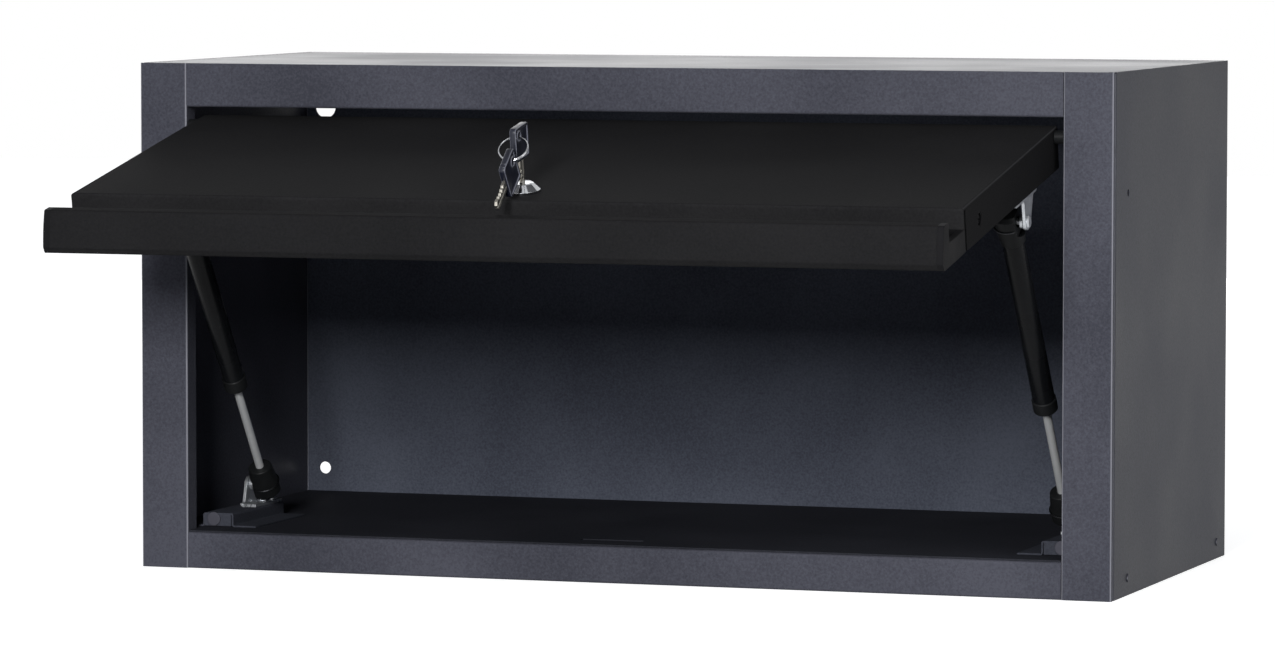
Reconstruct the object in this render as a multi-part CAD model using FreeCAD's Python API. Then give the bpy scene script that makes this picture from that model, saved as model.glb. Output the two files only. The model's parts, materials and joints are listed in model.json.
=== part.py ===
import FreeCAD, Part
import math
import os

os.makedirs("parts", exist_ok=True)
vector = FreeCAD.Vector

# Wall cabinet with a flip-up door. Millimetres, +Z up. It is modelled with the front
# plane at Y = 0, its mid-plane at X = 0 and its foot at Z = 0, the door closed, and
# is saved with the door open and its origin half way between the lower wall holes.

# Carcass
width = 706.0
depth = 325.0
height = 356.0
sheet = 1.2
bend = 0.6
stileWidth = 35.0
stileReturn = 16.0
stileLip = 2.4
topRailHeight = 30.5
bottomRailHeight = 25.5
bottomReturn = 14.0
shadowGap = 3.1
shadowDepth = 4.0
sideFlange = 14.0
topFlange = 14.0
backRecess = 12.0
floorReturn = 10.0
seatGap = 0.3

# Wall fixing in the back panel
wallHoleInset = 16.0
wallHoleHeight = 44.0
wallHoleRadius = 4.5
keyholeInset = 17.0
keyholeHeight = 315.0
keyholeRadius = 8.0
keyholeSlotRadius = 4.0
keyholeRise = 11.0

# Side holes: one joins cabinets, the others take the floor screws
joinHoleBack = 40.0
joinHoleHeight = 273.7
joinHoleRadius = 2.5
floorScrewInset = 44.0
floorScrewRearInset = 25.0
floorScrewHeight = 12.0
floorScrewRadius = 2.0
floorScrewHead = 2.9
floorScrewDome = 0.7

# Door
doorSideGap = 7.5
doorTopGap = 3.5
doorPanLength = 237.5
doorDepth = 29.0
doorSheet = 1.2
doorCorner = 2.5
cornerRelief = 3.6
hingeLip = 15.0
openAngle = 79.0
hingeBack = 6.0
hingeDrop = 10.0

# Folded handle along the free edge of the door
grooveDepth = 14.0
grooveWidth = 35.5
handleLipWidth = 9.5
handleLength = 52.0
handleNose = 24.5
handleCurve = 80.0
handleBulge = 0.9
handleHeel = 2.0
lipSink = 0.6
capThick = 4.4
capPlug = 4.0
capPlugGap = 0.2

# Hinge studs
studRadius = 3.0
runningFit = 0.05
studHeadRadius = 4.0
studHead = 2.0
spacerRadius = 4.6
clipRadius = 4.0
clipThick = 1.6
movingGap = 0.3

# Screw cups in the side flanges of the door
cupDrop = 201.0
cupBack = 16.0
cupRadius = 5.0
cupDepth = 4.0
cupWall = 0.8
cupScrewRadius = 3.4

# Gas struts, measured from the closed door and from the floor
strutInset = 56.5
ballBack = 41.0
ballDrop = 72.0
lowerBallBack = 92.0
lowerBallHeight = 52.0
ballRadius = 5.0
neckRadius = 2.2
shoulderRadius = 4.5
shoulderThick = 3.0
shankRadius = 3.0
socketHalf = 6.0
socketMouth = 4.0
socketRoom = 10.0
bootRadius = 10.4
bootFoot = 8.0
bootEnd = 17.0
bootEndRadius = 8.4
bootEdge = 2.4
bootSeat = 9.0
rodRadius = 3.0
tubeRadius = 7.75
tubeWall = 1.0
tubeCap = 4.0
collarRadius = 8.5
collarLength = 10.0
collarStart = 91.0
glandLength = 5.0
pistonLength = 8.0
rodEnd = 154.0

# Brackets of the struts
bracketThick = 2.0
doorBracketHalf = 27.0
doorBracketEdge = 2.5
doorBracketTop = 8.0
earRoot = 23.0
earTip = 5.5
doorEarShift = 5.0
lowerEarRoot = 22.0
lowerBracketWidth = 12.0
lowerBracketFront = 15.5
lowerBracketRear = 34.0
bracketScrewRadius = 4.0
bracketScrewHead = 2.2
bracketScrewPitch = 14.0
bracketScrewStart = 12.0

# Channels on the floor that carry the lower brackets
channelWidth = 23.0
channelHeight = 9.9
channelOutset = 1.0
channelFront = 30.6
channelLength = 96.0
channelFlange = 17.0
tabSlit = 0.5
bumperRadius = 5.0
bumperThick = 1.3
bumperInset = 8.4
bumperHeight = 5.5

# Cam lock
lockOffset = 2.5
lockDrop = 212.6
escutcheonRadius = 12.1
escutcheonTop = 7.15
escutcheonHeight = 6.4
escutcheonRim = 1.7
barrelRadius = 9.4
barrelLength = 24.0
barrelHoleGap = 0.1
nutFlat = 24.0
nutThick = 5.0
plugRadius = 6.0
plugSink = 0.2
plugTail = 4.5
camGap = 2.0
camThick = 2.0
camEngage = 5.3
camHub = 8.0
camTip = 5.5
camScrewRadius = 4.0
camScrewHead = 2.5
camSlotGap = 2.0
keywayLength = 24.0
keyGap = 0.1

# Keys and ring
bladeWidth = 7.0
bladeThick = 2.0
bladeLength = 22.5
bladePoint = 3.5
bladeTip = 2.4
bladeOut = 15.6
keyHeadWidth = 25.0
keyHeadLength = 23.0
keyHeadThick = 4.4
keyHeadCorner = 3.0
keyHeadRim = 0.6
keyHeadRimWidth = 2.0
keyHoleOffset = 5.04
keyHoleBack = 16.74
keyHoleRadius = 2.7
ringRadius = 9.8
ringWire = 0.55
ringCoilShift = 0.45
ringSeat = 1.3
ringSlope = 54.4
ringLean = -3.0
spareTurn = 62.0

# Places that follow from the sizes above
sideOuter = width / 2
sideInner = sideOuter - sheet
openingHalf = sideOuter - stileWidth
floorTop = bottomRailHeight + sheet
topUnder = height - sheet
grooveFront = stileLip + shadowGap
grooveX = sideOuter - shadowDepth
backFace = depth - backRecess
doorHalf = openingHalf - doorSideGap
doorTop = height - topRailHeight - doorTopGap
panBottom = doorTop - doorPanLength
doorInner = doorHalf - doorSheet
hinge = vector(0, hingeBack, doorTop - hingeDrop)
lockHeight = doorTop - lockDrop
camLength = lockHeight - floorTop + camEngage
strutX = sideOuter - strutInset
bracketFace = doorInner
origin = vector(0, backFace + sheet, wallHoleHeight)


# Flat profiles and folded sheet

def spot(plane, a, b, along):
    """A point of a flat profile: a and b lie in the plane and along is its distance."""
    if plane == "XY":
        return vector(a, b, along)
    if plane == "YZ":
        return vector(along, a, b)
    return vector(a, along, b)


def outline(plane, along, corners):
    """A face with a corner at each (a, b) or, rounded, at each (a, b, radius)."""
    spots = [spot(plane, corner[0], corner[1], along) for corner in corners]
    radii = [corner[2] if len(corner) > 2 else 0.0 for corner in corners]
    stretches = []
    arcs = []
    for index, here in enumerate(spots):
        before = (spots[index - 1] - here).normalize()
        after = (spots[(index + 1) % len(spots)] - here).normalize()
        half = before.getAngle(after) / 2
        radius = radii[index]
        if radius == 0:
            stretches.append((here, here))
            arcs.append(None)
            continue
        reach = radius / math.tan(half)
        start = here + before * reach
        end = here + after * reach
        toward = (before + after).normalize()
        middle = here + toward * (radius / math.sin(half) - radius)
        stretches.append((start, end))
        arcs.append(Part.Arc(start, middle, end).toShape())
    edges = []
    for index, (start, end) in enumerate(stretches):
        if arcs[index] is not None:
            edges.append(arcs[index])
        following = stretches[(index + 1) % len(stretches)][0]
        if (following - end).Length > 1e-6:
            edges.append(Part.LineSegment(end, following).toShape())
    return Part.Face(Part.Wire(edges))


def prism(plane, start, end, corners):
    """A profile carried from one distance to another, square to its plane."""
    return outline(plane, start, corners).extrude(spot(plane, 0, 0, end - start))


def folded(plane, start, end, path, thick=sheet):
    """Sheet on the left-hand side of a path, with a bend at each inner corner."""
    flat = [vector(a, b, 0) for a, b in path]
    ways = [(flat[i + 1] - flat[i]).normalize() for i in range(len(flat) - 1)]
    lefts = [vector(-way.y, way.x, 0) for way in ways]
    outer = [(flat[0].x, flat[0].y)]
    inner = [flat[0] + lefts[0] * thick]
    inner = [(inner[0].x, inner[0].y)]
    for i in range(1, len(flat) - 1):
        turn = ways[i - 1].cross(ways[i]).z
        share = (lefts[i - 1] + lefts[i]).normalize()
        reach = thick / share.dot(lefts[i])
        offset = flat[i] + share * reach
        outside = bend + thick if turn > 0 else bend
        inside = bend if turn > 0 else bend + thick
        outer.append((flat[i].x, flat[i].y, outside))
        inner.append((offset.x, offset.y, inside))
    outer.append((flat[-1].x, flat[-1].y))
    last = flat[-1] + lefts[-1] * thick
    inner.append((last.x, last.y))
    return prism(plane, start, end, outer + inner[::-1])


# Solids and their places

def block(xs, ys, zs):
    """A box between two values of X, of Y and of Z."""
    corner = vector(min(xs), min(ys), min(zs))
    return Part.makeBox(abs(xs[1] - xs[0]), abs(ys[1] - ys[0]), abs(zs[1] - zs[0]), corner)


def rod(start, end, radius):
    """A round bar from one point to another."""
    return Part.makeCylinder(radius, (end - start).Length, start, end - start)


def spun(corners, base, axis):
    """A profile of radii and distances along the axis, carried round the axis."""
    solid = outline("XZ", 0, corners).revolve(vector(0, 0, 0), vector(0, 0, 1), 360)
    turn = FreeCAD.Rotation(vector(0, 0, 1), axis)
    solid.Placement = FreeCAD.Placement(base, turn)
    return solid


def turned(corners, base, axis):
    """A turned solid. A third number at a corner is the length of its chamfer."""
    cut = []
    for index, corner in enumerate(corners):
        here = vector(corner[0], corner[1], 0)
        if len(corner) == 2:
            cut.append((here.x, here.y))
            continue
        for other in (corners[index - 1], corners[(index + 1) % len(corners)]):
            way = (vector(other[0], other[1], 0) - here).normalize()
            edge = here + way * corner[2]
            cut.append((edge.x, edge.y))
    return spun(cut, base, axis)


def ball(centre, radius):
    """A ball whose poles lie along X."""
    return spun([
        (0, -radius), (radius, -radius, radius), (radius, radius, radius), (0, radius),
    ], centre, vector(1, 0, 0))


def joined(shapes):
    """Solids made into one."""
    return shapes[0].multiFuse(shapes[1:]).removeSplitter()


def mirrored(shape):
    """The left-hand copy of a right-hand piece."""
    return shape.mirror(vector(0, 0, 0), vector(1, 0, 0))


def opened(shape):
    """A piece of the closed door, swung up with it."""
    return shape.rotated(hinge, vector(1, 0, 0), -openAngle)


def save(name, *shapes):
    """Write the solids of one node, in the frame of the wall holes."""
    solids = []
    for shape in shapes:
        solids += shape.Solids
    node = Part.makeCompound(solids) if len(solids) > 1 else solids[0]
    if not node.isValid():
        raise ValueError(name + " is not a valid shape")
    node.translated(-origin).exportStep("parts/" + name + ".step")


def savePair(name, *shapes):
    """Write a right-hand node and its left-hand copy."""
    save("right_" + name, *shapes)
    save("left_" + name, *[mirrored(shape) for shape in shapes])


# Carcass

def makeSidePanel():
    wall = folded("XY", 0, topUnder, [
        (grooveX - sideFlange, sheet),
        (grooveX, sheet),
        (grooveX, grooveFront),
        (sideOuter, grooveFront),
        (sideOuter, depth),
    ])
    rimFront = grooveFront + sheet + bend
    rim = block((sideInner, sideOuter), (rimFront, depth), (topUnder, height))
    panel = joined([wall, rim])
    joinHole = rod(vector(sideInner - sheet, joinHoleBack, joinHoleHeight),
                   vector(sideOuter + sheet, joinHoleBack, joinHoleHeight), joinHoleRadius)
    return panel.cut([joinHole] + [floorScrewHole(y) for y in floorScrewPlaces()])


def floorScrewPlaces():
    return [floorScrewInset, depth - floorScrewRearInset]


def floorScrewHole(y):
    return rod(vector(sideInner - 2 * sheet, y, floorScrewHeight),
               vector(sideOuter + sheet, y, floorScrewHeight), floorScrewRadius)


def makeFloorScrew(y):
    base = vector(sideInner - 2 * sheet, y, floorScrewHeight)
    grip = 3 * sheet
    return turned([
        (0, 0), (floorScrewRadius, 0), (floorScrewRadius, grip), (floorScrewHead, grip),
        (floorScrewHead, grip + floorScrewDome, floorScrewDome / 2), (0, grip + floorScrewDome),
    ], base, vector(1, 0, 0))


def makeStile():
    stile = folded("XY", 0, height, [
        (openingHalf, stileReturn), (openingHalf, 0), (sideOuter, 0), (sideOuter, stileLip),
    ])
    studHole = rod(vector(openingHalf - sheet, hinge.y, hinge.z),
                   vector(openingHalf + 2 * sheet, hinge.y, hinge.z), studRadius)
    topRelief = block((openingHalf - sheet, sideInner), (sheet, stileReturn + sheet),
                      (topUnder, height + sheet))
    return stile.cut([studHole, topRelief])


def makeTopRail():
    foot = height - topRailHeight
    return folded("YZ", -openingHalf, openingHalf, [(0, height), (0, foot), (stileReturn, foot)])


def makeBottomRail():
    return folded("YZ", -openingHalf, openingHalf, [
        (stileReturn, bottomRailHeight), (0, bottomRailHeight), (0, 0), (bottomReturn, 0),
    ])


def makeTopPanel():
    flangeFoot = height - topFlange
    coverFront = grooveFront + sheet + bend
    cover = folded("XZ", coverFront, depth, [
        (sideInner, flangeFoot), (sideInner, height), (-sideInner, height), (-sideInner, flangeFoot),
    ])
    backNotch = block((-sideOuter, sideOuter), (backFace - sheet, depth + sheet), (0, topUnder))
    cover = cover.cut(backNotch)
    frontHalf = grooveX - sheet
    front = folded("YZ", -frontHalf, frontHalf, [
        (coverFront + sheet, height), (sheet, height), (sheet, flangeFoot),
    ])
    for side in (-1, 1):
        relief = block((side * (openingHalf - seatGap), side * sideOuter),
                       (0, coverFront), (0, topUnder))
        front = front.cut(relief)
    return joined([cover, front])


def makeBackPanel():
    sides = folded("XY", bend + 2 * sheet, topUnder - bend - 2 * sheet, [
        (-sideInner, depth), (-sideInner, backFace), (sideInner, backFace), (sideInner, depth),
    ])
    endHalf = sideInner - bend - 2 * sheet
    ends = folded("YZ", -endHalf, endHalf, [
        (depth, topUnder), (backFace, topUnder), (backFace, 0), (depth, 0),
    ])
    panel = joined([sides, ends])
    front = backFace - sheet
    rear = backFace + 2 * sheet
    holes = []
    for side in (-1, 1):
        wallX = side * (sideOuter - wallHoleInset)
        holes.append(rod(vector(wallX, front, wallHoleHeight),
                         vector(wallX, rear, wallHoleHeight), wallHoleRadius))
        keyX = side * (sideOuter - keyholeInset)
        slotTop = keyholeHeight + keyholeRise
        holes.append(rod(vector(keyX, front, keyholeHeight),
                         vector(keyX, rear, keyholeHeight), keyholeRadius))
        holes.append(rod(vector(keyX, front, slotTop),
                         vector(keyX, rear, slotTop), keyholeSlotRadius))
        holes.append(block((keyX - keyholeSlotRadius, keyX + keyholeSlotRadius),
                           (front, rear), (keyholeHeight, slotTop)))
    return panel.cut(holes)


def makeFloorPanel():
    returnEdge = sideInner - floorReturn
    tray = folded("XZ", stileReturn + seatGap, backFace, [
        (returnEdge, 0), (sideInner, 0), (sideInner, floorTop),
        (-sideInner, floorTop), (-sideInner, 0), (-returnEdge, 0),
    ])
    tongueHalf = openingHalf - seatGap
    tongue = block((-tongueHalf, tongueHalf), (sheet + seatGap, stileReturn + sheet),
                   (bottomRailHeight, floorTop))
    holes = []
    for y in floorScrewPlaces():
        holes += [floorScrewHole(y), mirrored(floorScrewHole(y))]
    return joined([tray, tongue]).cut(holes + [makeCamSlot()])


def makeCamSlot():
    reach = lockHeight - floorTop
    swing = math.sqrt(camLength ** 2 - reach ** 2) + camTip
    slotFront = doorDepth + camGap - camSlotGap
    slotRear = doorDepth + camGap + camThick + camSlotGap
    return block((lockOffset - swing - camSlotGap, lockOffset + camTip + camSlotGap),
                 (slotFront, slotRear), (0, height / 2))


def makeChannel():
    outer = openingHalf + channelOutset
    inner = outer - channelWidth
    flangeTop = floorTop + sheet
    channelTop = floorTop + channelHeight
    hat = folded("XZ", channelFront, channelFront + channelLength, [
        (outer + channelFlange, flangeTop), (outer, flangeTop), (outer, channelTop),
        (inner, channelTop), (inner, flangeTop), (inner - channelFlange, flangeTop),
    ])
    tab = block((inner + sheet + tabSlit, outer - sheet), (channelFront, channelFront + sheet),
                (floorTop + tabSlit, channelTop - sheet / 2))
    return joined([hat, tab])


def makeBumper():
    centre = vector(openingHalf - bumperInset + channelOutset, channelFront, floorTop + bumperHeight)
    return turned([
        (0, 0), (bumperRadius, 0), (bumperRadius, bumperThick, bumperThick / 3), (0, bumperThick),
    ], centre, vector(0, -1, 0))


# Hinges

def hingeSpot(x):
    return vector(x, hinge.y, hinge.z)


def makeHingeStud():
    clipFace = doorInner - movingGap
    shaft = rod(hingeSpot(clipFace), hingeSpot(openingHalf + sheet), studRadius)
    head = turned([
        (0, 0), (studHeadRadius, 0), (studHeadRadius, studHead, studHead / 2), (0, studHead),
    ], hingeSpot(openingHalf + sheet), vector(1, 0, 0))
    clip = turned([
        (0, 0), (clipRadius, 0), (clipRadius, clipThick, clipThick / 3), (0, clipThick),
    ], hingeSpot(clipFace), vector(-1, 0, 0))
    return joined([shaft, head, clip])


def makeSpacer():
    bore = studRadius + runningFit
    length = doorSideGap - movingGap
    edge = sheet / 3
    return turned([
        (bore, 0), (spacerRadius, 0, edge), (spacerRadius, length, edge), (bore, length),
    ], hingeSpot(openingHalf), vector(-1, 0, 0))


# Door, modelled closed

def makeDoorPan():
    outer = block((-doorHalf, doorHalf), (0, doorDepth), (panBottom, doorTop))
    corners = [edge for edge in outer.Edges if abs(edge.tangentAt(edge.FirstParameter).y) > 0.5
               and edge.CenterOfMass.z > panBottom + doorCorner]
    outer = outer.makeFillet(doorCorner, corners)
    fold = bend + doorSheet
    front = [edge for edge in outer.Edges if edge.BoundBox.YMax < fold / 2]
    outer = outer.makeFillet(fold, front)
    inner = block((-doorInner, doorInner), (doorSheet, doorDepth + doorSheet),
                  (panBottom + doorSheet, doorTop - doorSheet))
    inner = inner.makeFillet(bend, [edge for edge in inner.Edges
                                    if edge.BoundBox.YMax < doorSheet + bend])
    hingeNotch = block((-doorInner, doorInner), (hingeLip, doorDepth + doorSheet),
                       (doorTop - doorCorner - doorSheet, doorTop + doorSheet))
    tools = [inner, hingeNotch]
    for side in (-1, 1):
        tools.append(block((side * (doorInner - bend), side * (doorHalf + doorSheet)),
                           (fold, doorDepth + doorSheet),
                           (panBottom + doorSheet, panBottom + doorSheet + cornerRelief)))
    tools.append(rod(vector(-width, hinge.y, hinge.z), vector(width, hinge.y, hinge.z),
                     studRadius + runningFit))
    tools.append(rod(vector(-width, cupBack, doorTop - cupDrop),
                     vector(width, cupBack, doorTop - cupDrop), cupRadius))
    tools.append(rod(vector(lockOffset, -doorSheet, lockHeight),
                     vector(lockOffset, 2 * doorSheet, lockHeight),
                     barrelRadius + barrelHoleGap))
    return outer.cut(tools)


def handlePath():
    lipTop = panBottom - grooveWidth
    lipFoot = lipTop - handleLipWidth
    foot = panBottom - handleLength
    middle = (handleNose / 2, (lipFoot + foot) / 2 - handleBulge)
    return [
        (grooveDepth, panBottom), (grooveDepth, lipTop), (lipSink, lipTop), (lipSink, lipFoot),
        middle, (handleNose, foot), (doorDepth, foot + handleHeel), (doorDepth, panBottom),
    ]


def makeHandle():
    half = doorHalf - capThick
    return folded("YZ", -half, half, handlePath(), doorSheet)


def makeHandleCap():
    path = handlePath()
    corners = [(a, b, bend + doorSheet) for a, b in path[1:-1]]
    corners[0] = (corners[0][0], corners[0][1], bend)
    corners[3] = (corners[3][0], corners[3][1], handleCurve)
    plate = prism("YZ", doorHalf - capThick, doorHalf, [path[0]] + corners + [path[-1]])
    inset = doorSheet + capPlugGap
    lipTop = path[1][1]
    plug = block((doorHalf - capThick - capPlug, doorHalf - capThick),
                 (grooveDepth + inset, doorDepth - inset),
                 (path[6][1] + inset, lipTop + grooveWidth - inset))
    plug = plug.makeFillet(bend, [edge for edge in plug.Edges
                                  if abs(edge.tangentAt(edge.FirstParameter).x) > 0.5])
    return joined([plate, plug])


def makeScrewCup():
    base = vector(doorHalf - cupDepth, cupBack, doorTop - cupDrop)
    rim = cupDepth - sheet / 4
    inner = cupRadius - cupWall
    head = sheet + cupWall
    return turned([
        (0, 0), (cupRadius, 0), (cupRadius, rim), (inner, rim), (inner, sheet),
        (cupScrewRadius, sheet), (cupScrewRadius, head, cupWall / 2), (0, head),
    ], base, vector(1, 0, 0))


def makeDoorBracket():
    ballY = hinge.y + ballBack
    ballZ = hinge.z - ballDrop
    middle = ballZ - doorEarShift / 5
    edge = doorDepth + doorBracketEdge
    root = earRoot / 2
    corner = earTip / 2
    rootShift = doorEarShift
    plate = prism("YZ", bracketFace - bracketThick, bracketFace, [
        (doorBracketTop, middle + doorBracketHalf, corner),
        (edge, middle + doorBracketHalf, corner),
        (edge, ballZ + rootShift + root, corner),
        (ballY + earTip, ballZ + earTip, earTip - runningFit),
        (ballY + earTip, ballZ - earTip, earTip - runningFit),
        (edge, ballZ + rootShift - root, corner),
        (edge, middle - doorBracketHalf, corner),
        (doorBracketTop, middle - doorBracketHalf, corner),
    ])
    hole = rod(vector(bracketFace - 2 * bracketThick, ballY, ballZ),
               vector(bracketFace + bracketThick, ballY, ballZ), shankRadius)
    return plate.cut(hole)


def makeBracketRivet():
    base = vector(bracketFace - bracketThick, hinge.y + ballBack, hinge.z - ballDrop)
    top = bracketThick + studHead * 0.75
    return turned([
        (0, 0), (shankRadius, 0), (shankRadius, bracketThick), (shoulderRadius, bracketThick),
        (shoulderRadius, top, studHead / 2), (0, top),
    ], base, vector(1, 0, 0))


# Lower brackets and ball studs

def makeLowerBracket():
    base = floorTop + channelHeight
    outer = bracketFace + bracketThick / 10
    start = lowerBallBack - lowerBracketFront
    end = lowerBallBack + lowerBracketRear
    earTop = lowerBallHeight + earTip
    angle = folded("XZ", start, end, [
        (outer - lowerBracketWidth, base), (outer, base), (outer, earTop + bracketThick),
    ], bracketThick)
    root = lowerEarRoot / 2
    shelf = base + bracketThick + bend
    corner = earTip / 2
    shape = prism("YZ", outer - 2 * lowerBracketWidth, outer + bracketThick, [
        (start, base), (start, shelf), (lowerBallBack - root, shelf, corner / 2),
        (lowerBallBack - earTip, earTop, earTip - runningFit),
        (lowerBallBack + earTip, earTop, earTip - runningFit),
        (lowerBallBack + root, shelf, corner / 2), (end, shelf), (end, base),
    ])
    hole = rod(vector(outer - 2 * bracketThick, lowerBallBack, lowerBallHeight),
               vector(outer + bracketThick, lowerBallBack, lowerBallHeight), shankRadius)
    return angle.common(shape).cut(hole)


def makeBracketScrews():
    x = bracketFace + bracketThick / 10 - bracketThick - bracketScrewRadius - bend
    top = floorTop + channelHeight + bracketThick
    screws = []
    for index in range(2):
        y = lowerBallBack + bracketScrewStart + index * bracketScrewPitch
        screws.append(turned([
            (0, 0), (bracketScrewRadius, 0),
            (bracketScrewRadius, bracketScrewHead, bracketScrewHead / 2), (0, bracketScrewHead),
        ], vector(x, y, top), vector(0, 0, 1)))
    return screws


def makeBallStud(centre, seat, shank, head):
    """A ball, its neck and shoulder up to the seat, then the shank and a riveted head."""
    length = seat - centre.x
    neckStart = math.sqrt(ballRadius ** 2 - neckRadius ** 2) * 0.9
    axis = vector(1, 0, 0)
    pieces = [ball(centre, ballRadius)]
    pieces.append(rod(centre + axis * neckStart, centre + axis * (length - shoulderThick / 2),
                      neckRadius))
    pieces.append(turned([
        (0, 0), (shoulderRadius, 0, sheet / 2), (shoulderRadius, shoulderThick, sheet / 2),
        (0, shoulderThick),
    ], centre + axis * (length - shoulderThick), axis))
    if shank:
        pieces.append(rod(vector(seat - sheet, centre.y, centre.z),
                          vector(seat + shank + head / 2, centre.y, centre.z), shankRadius))
        pieces.append(turned([
            (0, 0), (shoulderRadius, 0), (shoulderRadius, head, head / 2), (0, head),
        ], vector(seat + shank, centre.y, centre.z), axis))
    return joined(pieces)


# Gas struts, along the line from the lower ball to the upper one

lowerBall = vector(strutX, lowerBallBack, lowerBallHeight)
upperBallClosed = vector(strutX, hinge.y + ballBack, hinge.z - ballDrop)
upperBall = opened(Part.Vertex(upperBallClosed)).Point
strutAxis = (upperBall - lowerBall).normalize()
strutLength = (upperBall - lowerBall).Length
strutTop = strutLength - bootSeat


def alongStrut(distance):
    return lowerBall + strutAxis * distance


def makeEndFitting(centre, axis, shaftRadius):
    """A boot that widens from the shaft to the ball, flat on the side that the stud enters."""
    boot = turned([
        (0, -bootFoot), (bootRadius, -bootFoot, bootEdge), (bootRadius, 0),
        (bootEndRadius, bootEnd, bend), (0, bootEnd),
    ], centre, axis)
    flat = vector(strutX + socketHalf, centre.y, centre.z)
    room = rod(flat, flat + vector(bootRadius, 0, 0), socketRoom)
    cavity = ball(centre, ballRadius + runningFit)
    mouth = rod(centre, flat + vector(sheet, 0, 0), socketMouth)
    seat = rod(centre + axis * bootSeat, centre + axis * (bootEnd + sheet), shaftRadius)
    return boot.cut([room, cavity, mouth, seat])


def makeStrutRod():
    shaft = rod(alongStrut(bootSeat), alongStrut(rodEnd), rodRadius)
    piston = rod(alongStrut(rodEnd - pistonLength), alongStrut(rodEnd),
                 tubeRadius - tubeWall - runningFit)
    return joined([shaft, piston])


def makeStrutTube():
    foot = collarStart + glandLength
    tube = rod(alongStrut(foot), alongStrut(strutTop), tubeRadius)
    bore = rod(alongStrut(foot - sheet), alongStrut(strutTop - tubeCap), tubeRadius - tubeWall)
    return tube.cut(bore)


def makeGlandCollar():
    bore = rodRadius + runningFit
    edge = sheet / 2
    return turned([
        (bore, 0), (collarRadius, 0, edge), (collarRadius, collarLength, edge),
        (tubeRadius, collarLength), (tubeRadius, glandLength), (bore, glandLength),
    ], alongStrut(collarStart), strutAxis)


# Lock, keys and ring, modelled on the closed door

def lockSpot(y):
    return vector(lockOffset, y, lockHeight)


def makeEscutcheon():
    bore = plugRadius + runningFit
    return turned([
        (bore, 0), (escutcheonRadius, 0), (escutcheonRadius, escutcheonRim),
        (escutcheonTop, escutcheonHeight, sheet / 2), (bore, escutcheonHeight),
    ], lockSpot(0), vector(0, -1, 0))


def makeLockBarrel():
    bore = plugRadius + runningFit
    return turned([
        (bore, 0), (barrelRadius, 0), (barrelRadius, barrelLength, sheet / 2), (bore, barrelLength),
    ], lockSpot(0), vector(0, 1, 0))


def makeLockNut():
    sides = 6
    reach = nutFlat / 2 / math.cos(math.pi / sides)
    corners = []
    for index in range(sides):
        angle = 2 * math.pi * index / sides
        corners.append((lockOffset + reach * math.cos(angle), lockHeight + reach * math.sin(angle)))
    nut = prism("XZ", doorSheet, doorSheet + nutThick, corners)
    return nut.cut(rod(lockSpot(0), lockSpot(barrelLength), barrelRadius))


def makeLockPlug():
    front = plugSink - escutcheonHeight
    camFace = doorDepth + camGap
    body = rod(lockSpot(front), lockSpot(barrelLength + movingGap), plugRadius)
    tail = rod(lockSpot(barrelLength), lockSpot(camFace), plugTail)
    keyway = block((lockOffset - bladeThick / 2 - keyGap, lockOffset + bladeThick / 2 + keyGap),
                   (front - sheet, front + keywayLength),
                   (lockHeight - bladeWidth / 2 - keyGap, lockHeight + bladeWidth / 2 + keyGap))
    return joined([body, tail]).cut(keyway)


def makeCam():
    face = doorDepth + camGap
    tipX = lockOffset - camLength
    return prism("XZ", face, face + camThick, [
        (lockOffset + camHub, lockHeight - camHub, camHub - runningFit),
        (lockOffset + camHub, lockHeight + camHub, camHub - runningFit),
        (lockOffset - camHub, lockHeight + camHub, camHub),
        (lockOffset - 3 * camHub, lockHeight + camTip, camHub),
        (tipX, lockHeight + camTip, camTip - runningFit),
        (tipX, lockHeight - camTip, camTip - runningFit),
        (lockOffset - 3 * camHub, lockHeight - camTip, camHub),
        (lockOffset - camHub, lockHeight - camHub, camHub),
    ])


def makeCamScrew():
    return turned([
        (0, 0), (camScrewRadius, 0), (camScrewRadius, camScrewHead, camScrewHead / 2),
        (0, camScrewHead),
    ], lockSpot(doorDepth + camGap + camThick), vector(0, 1, 0))


def makeKeyBlade():
    root = -escutcheonHeight - bladeOut
    tip = root + bladeLength
    return prism("YZ", lockOffset - bladeThick / 2, lockOffset + bladeThick / 2, [
        (root, lockHeight - bladeWidth / 2), (tip - bladePoint, lockHeight - bladeWidth / 2),
        (tip, lockHeight - bladeTip / 2), (tip, lockHeight + bladeTip / 2),
        (tip - bladePoint, lockHeight + bladeWidth / 2), (root, lockHeight + bladeWidth / 2),
    ])


def keyHeadCorners(inset):
    root = -escutcheonHeight - bladeOut
    half = keyHeadWidth / 2 - inset
    corner = keyHeadCorner - inset
    return [
        (root - inset, lockHeight - half, corner), (root - inset, lockHeight + half, corner),
        (root - keyHeadLength + inset, lockHeight + half, corner),
        (root - keyHeadLength + inset, lockHeight - half, corner),
    ]


def makeKeyHead():
    half = keyHeadThick / 2
    head = prism("YZ", lockOffset - half, lockOffset + half, keyHeadCorners(0))
    panel = keyHeadCorners(keyHeadRimWidth)
    recesses = [
        prism("YZ", lockOffset + half - keyHeadRim, lockOffset + half + keyHeadRim, panel),
        prism("YZ", lockOffset - half - keyHeadRim, lockOffset - half + keyHeadRim, panel),
    ]
    hole = keyHole()
    way = vector(keyHeadThick, 0, 0)
    eyelet = rod(vector(lockOffset - half, hole.y, hole.z), vector(lockOffset + half, hole.y, hole.z),
                 keyHoleRadius + keyHeadRimWidth / 2)
    head = joined([head.cut(recesses), eyelet.common(head)])
    return head.cut(rod(hole - way, hole + way, keyHoleRadius))


def keyHole():
    root = -escutcheonHeight - bladeOut
    return vector(lockOffset, root - keyHoleBack, lockHeight - keyHoleOffset)


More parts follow.
